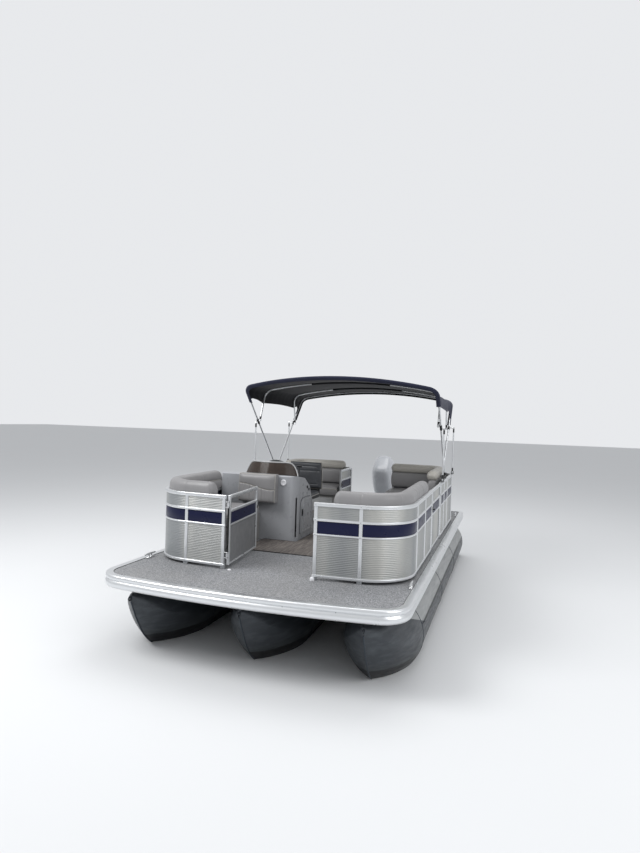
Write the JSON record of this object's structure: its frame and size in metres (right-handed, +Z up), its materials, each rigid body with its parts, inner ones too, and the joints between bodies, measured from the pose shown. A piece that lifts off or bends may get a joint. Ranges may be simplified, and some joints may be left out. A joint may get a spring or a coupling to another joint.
{
  "type": "pontoon boat",
  "caption": "Three-tube pontoon boat with a fenced deck, grey lounges, an open bow gate, a starboard helm console, a navy folding bimini top and an outboard motor tilted up.",
  "frame": {"origin": "on the floor under the middle of the boat's bounding box", "axes": "+X to the bow, +Y to port, +Z up"},
  "size_m": [6.3102, 2.59, 2.5976],
  "materials": {
    "rail_metal": "satin anodised",
    "tube_metal": "brushed, dark nose and bottom paint",
    "frame_metal": "mill",
    "fence_skin": "ribbed silver sheet",
    "navy_sheet": "gloss navy",
    "deck_vinyl": "speckled vinyl",
    "mat": "woven",
    "vinyl_cushion": "grey upholstery vinyl",
    "base_plastic": "moulded",
    "console_plastic": "gelcoat",
    "smoked_screen": "smoked",
    "black_plastic": "moulded",
    "canvas": "navy acrylic canvas",
    "motor_paint": "gloss",
    "motor_dark": "satin",
    "engine_iron": "cast",
    "chair_vinyl": "dark grey vinyl"
  },
  "bodies": {
    "hull": {"pontoon_port": "tube_metal", "pontoon_center": "tube_metal", "pontoon_starboard": "tube_metal", "cross_members": "frame_metal", "deck": "deck_vinyl", "rub_rail": "rail_metal", "fence_rails_starboard": "rail_metal", "fence_skins_starboard": "fence_skin", "fence_rails_port_bow": "rail_metal", "fence_skins_port_bow": "fence_skin", "fence_rails_port_aft": "rail_metal", "fence_skins_port_aft": "fence_skin", "fence_stripes": "navy_sheet", "cockpit_mat": "mat", "bow_lounge_bases": "base_plastic", "bow_seat_cushions": "vinyl_cushion", "bow_backrest_starboard": "vinyl_cushion", "bow_backrest_port": "vinyl_cushion", "console_backrest": "vinyl_cushion", "aft_lounge_bases": "base_plastic", "aft_seat_cushions": "vinyl_cushion", "aft_backrests": "vinyl_cushion", "console": "console_plastic", "windscreen": "smoked_screen", "throttle": "black_plastic", "helm_pedestal": "rail_metal", "bimini_mounts": "rail_metal", "motor_pod": "frame_metal", "outboard_clamp": "motor_dark", "ladder_brackets": "rail_metal", "cleats": "rail_metal"},
    "bow_gate": {"bow_gate_frame": "rail_metal", "bow_gate_panels": "fence_skin", "bow_gate_stripe": "navy_sheet"},
    "side_gate": {"side_gate_frame": "rail_metal", "side_gate_panels": "fence_skin", "side_gate_stripe": "navy_sheet"},
    "stern_gate": {"stern_gate_frame": "rail_metal", "stern_gate_panels": "fence_skin", "stern_gate_stripe": "navy_sheet"},
    "console_door": {"console_door": "console_plastic"},
    "helm_chair": {"helm_chair": "chair_vinyl"},
    "steering_wheel": {"steering_wheel": "black_plastic"},
    "bimini_rear": {"bimini_rear_bow": "rail_metal", "bimini_canvas": "canvas"},
    "bimini_front": {"bimini_front_bow": "rail_metal"},
    "bimini_front_second": {"bimini_front_second_bow": "rail_metal"},
    "bimini_rear_second": {"bimini_rear_second_bow": "rail_metal"},
    "bimini_front_struts": {"bimini_front_struts": "rail_metal"},
    "bimini_rear_struts": {"bimini_rear_struts": "rail_metal"},
    "motor_swivel": {"outboard_swivel": "motor_dark"},
    "motor": {"outboard_leg": "motor_dark", "outboard_cowling": "motor_paint", "outboard_engine": "engine_iron"},
    "propeller": {"propeller": "motor_dark"},
    "ladder": {"boarding_ladder": "rail_metal"}
  },
  "joints": [
    {"name": "bow_gate_hinge", "type": "hinge", "parent": "hull", "child": "bow_gate", "pos_m": [2.48313, -0.383, 1.115], "axis": [0, 0, 1], "range_deg": [-95.6, 0]},
    {"name": "side_gate_hinge", "type": "hinge", "parent": "hull", "child": "side_gate", "pos_m": [0.27213, 1.18, 1.115], "axis": [0, 0, 1], "range_deg": [-90, 0]},
    {"name": "stern_gate_hinge", "type": "hinge", "parent": "hull", "child": "stern_gate", "pos_m": [-1.22887, -0.263, 1.115], "axis": [0, 0, 1], "range_deg": [0, 90]},
    {"name": "console_door_hinge", "type": "hinge", "parent": "hull", "child": "console_door", "pos_m": [0.66313, -0.223, 1.035], "axis": [0, 0, 1], "range_deg": [0, 110]},
    {"name": "helm_chair_swivel", "type": "hinge", "parent": "hull", "child": "helm_chair", "pos_m": [0.09513, -0.6, 1.075], "axis": [0, 0, 1], "continuous": true},
    {"name": "motor_tilt", "type": "hinge", "parent": "hull", "child": "motor_swivel", "pos_m": [-2.23487, 0, 0.775], "axis": [0, 1, 0], "range_deg": [-35, 25]},
    {"name": "motor_steer", "type": "hinge", "parent": "motor_swivel", "child": "motor", "pos_m": [-2.32907, 0, 0.84096], "axis": [0.5736, 0, 0.8192], "range_deg": [-30, 30]},
    {"name": "steering_wheel_turn", "type": "hinge", "parent": "hull", "child": "steering_wheel", "pos_m": [0.68513, -0.64, 1.465], "axis": [-0.848, 0, 0.5299], "range_deg": [-450, 450]},
    {"name": "propeller_spin", "type": "hinge", "parent": "motor", "child": "propeller", "pos_m": [-3.04025, 0, 0.26465], "axis": [0.8192, 0, -0.5736], "continuous": true},
    {"name": "bimini_lean", "type": "hinge", "parent": "hull", "child": "bimini_rear", "pos_m": [-0.46487, 0, 1.439], "axis": [0, -1, 0], "range_deg": [0, 24]},
    {"name": "bimini_fold", "type": "hinge", "parent": "bimini_rear", "child": "bimini_front", "pos_m": [-0.46487, 0, 1.439], "axis": [0, -1, 0], "range_deg": [0, 81.6], "deforming": ["bimini_canvas"]},
    {"name": "bimini_front_second_fold", "type": "hinge", "parent": "bimini_front", "child": "bimini_front_second", "pos_m": [0.16883, 0, 2.06392], "axis": [0, -1, 0], "range_deg": [-67.4, 0]},
    {"name": "bimini_rear_second_fold", "type": "hinge", "parent": "bimini_rear", "child": "bimini_rear_second", "pos_m": [-1.03794, 0, 2.0283], "axis": [0, -1, 0], "range_deg": [0, 56.4]},
    {"name": "bimini_front_struts_drop", "type": "hinge", "parent": "hull", "child": "bimini_front_struts", "pos_m": [0.14035, 0, 1.439], "axis": [0, 1, 0], "range_deg": [0, 88]},
    {"name": "bimini_rear_struts_drop", "type": "hinge", "parent": "hull", "child": "bimini_rear_struts", "pos_m": [-1.05049, 0, 1.439], "axis": [0, 1, 0], "range_deg": [0, 88]},
    {"name": "ladder_flip", "type": "hinge", "parent": "hull", "child": "ladder", "pos_m": [-2.04987, 0.84, 0.805], "axis": [0, -1, 0], "range_deg": [0, 262]}
  ],
  "couplings": [
    {"joint": "steering_wheel_turn", "follows": "motor_steer", "ratio": -15},
    {"joint": "bimini_front_second_fold", "follows": "bimini_fold", "ratio": -0.82598},
    {"joint": "bimini_rear_second_fold", "follows": "bimini_fold", "ratio": 0.69118}
  ]
}
